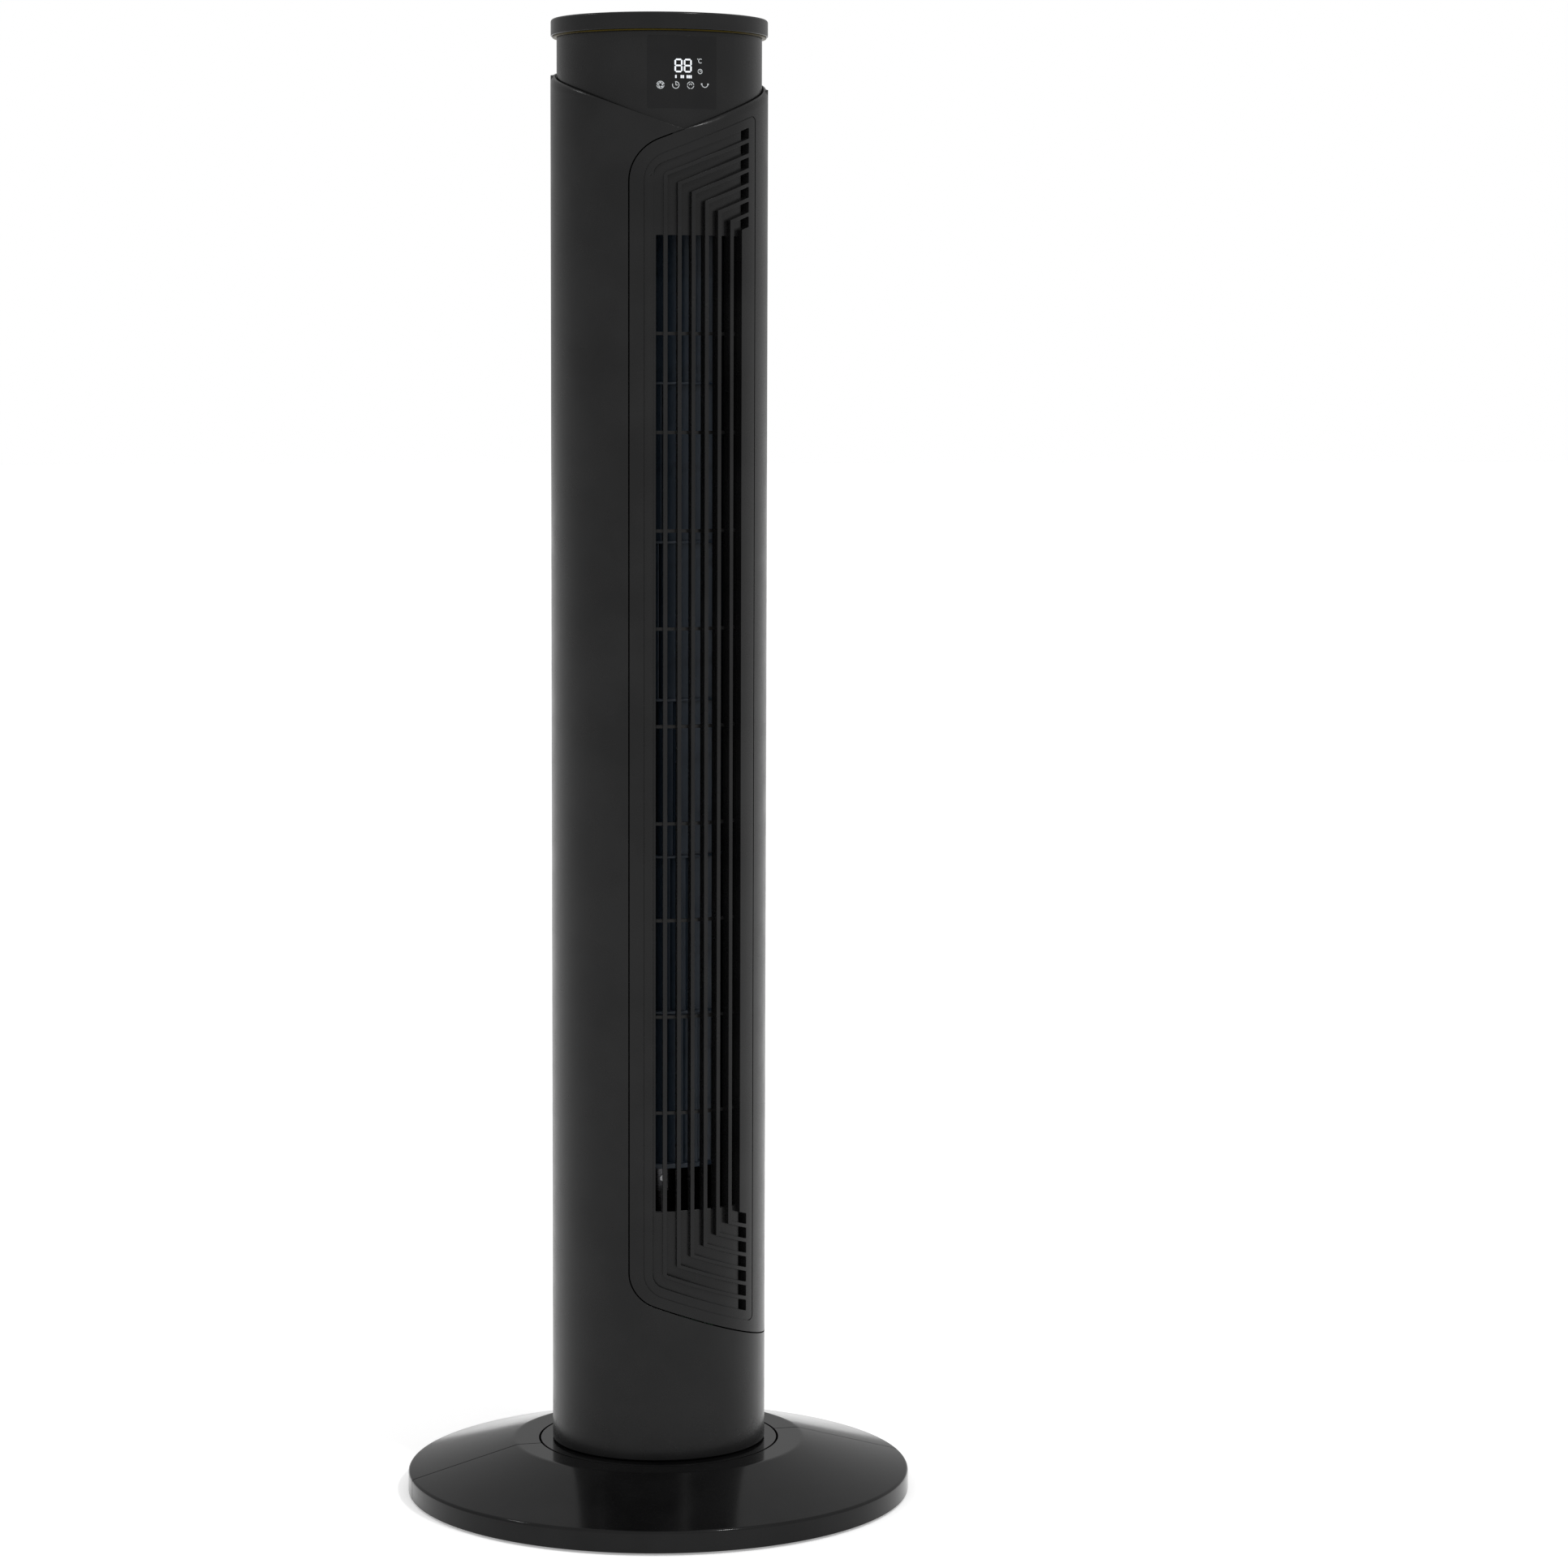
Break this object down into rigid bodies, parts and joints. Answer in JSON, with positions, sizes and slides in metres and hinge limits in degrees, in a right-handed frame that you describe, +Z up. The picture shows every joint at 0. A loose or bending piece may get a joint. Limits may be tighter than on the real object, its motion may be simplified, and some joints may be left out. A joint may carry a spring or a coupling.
{
  "type": "tower fan",
  "caption": "Tall cylindrical tower fan on a round two-part base, with a slotted offset grille, a control neck with lit display and a flat top cap.",
  "frame": {"origin": "centre of the round base's underside, on the floor", "axes": "+Z up along the tower and the swing axis, the fan faces -Y, +X is to the right seen from the front"},
  "size_m": [0.315, 0.315, 0.9151],
  "materials": {
    "base_gloss": "glossy",
    "casing_satin": "satin",
    "panel_satin": "satin",
    "neck_satin": "satin",
    "display_dark": "glossy",
    "lit_white": "lit",
    "gold_trim": "satin",
    "inner_plastic": "matte",
    "wheel_plastic": "satin",
    "white_pom": "satin",
    "rubber_black": "matte",
    "bright_steel": "turned",
    "motor_steel": "plated",
    "screw_zinc": "plated",
    "board_green": "solder mask",
    "spring_copper": "bright"
  },
  "bodies": {
    "base": {"base_front_half": "base_gloss", "base_rear_half": "base_gloss", "base_tray": "inner_plastic", "base_screws": "screw_zinc", "rubber_feet": "rubber_black", "fixed_gear": "white_pom", "gear_screws": "screw_zinc", "swivel_bush": "white_pom", "glide_ring": "white_pom"},
    "tower": {"turntable": "base_gloss", "retaining_washer": "screw_zinc", "retaining_screws": "screw_zinc", "bottom_plate": "inner_plastic", "tower_screws": "screw_zinc", "front_casing": "casing_satin", "rear_casing": "casing_satin", "grille_panel": "panel_satin", "casing_screws": "screw_zinc", "cord_gland": "rubber_black", "control_housing": "neck_satin", "display_window": "display_dark", "control_board": "board_green", "led_display": "inner_plastic", "touch_springs": "spring_copper", "lit_digits": "lit_white", "key_symbols": "lit_white", "ir_receiver": "inner_plastic", "top_cap": "casing_satin", "cap_trim_ring": "gold_trim", "cap_screws": "screw_zinc", "air_guide": "inner_plastic", "air_tongue": "inner_plastic", "motor_mount": "inner_plastic", "fan_motor": "motor_steel", "motor_screws": "screw_zinc", "upper_bearing_plate": "inner_plastic", "upper_bush": "rubber_black", "power_board": "board_green", "swing_motor": "motor_steel", "swing_motor_screws": "screw_zinc"},
    "impeller_set": {"impeller": "wheel_plastic", "impeller_hub": "bright_steel", "rotor_shaft": "bright_steel", "grub_screw": "screw_zinc", "upper_pin": "bright_steel"},
    "pinion_set": {"drive_pinion": "white_pom", "pinion_shaft": "bright_steel"}
  },
  "joints": [
    {"name": "oscillation", "type": "hinge", "parent": "base", "child": "tower", "pos_m": [0, 0, 0.03], "axis": [0, 0, 1], "range_deg": [-35, 35]},
    {"name": "impeller_spin", "type": "hinge", "parent": "tower", "child": "impeller_set", "pos_m": [0, 0, 0.5], "axis": [0, 0, 1], "continuous": true},
    {"name": "pinion_spin", "type": "hinge", "parent": "tower", "child": "pinion_set", "pos_m": [0, 0.0375, 0.015], "axis": [0, 0, 1], "range_deg": [-140, 140]}
  ],
  "couplings": [
    {"joint": "pinion_spin", "follows": "oscillation", "ratio": 4}
  ]
}
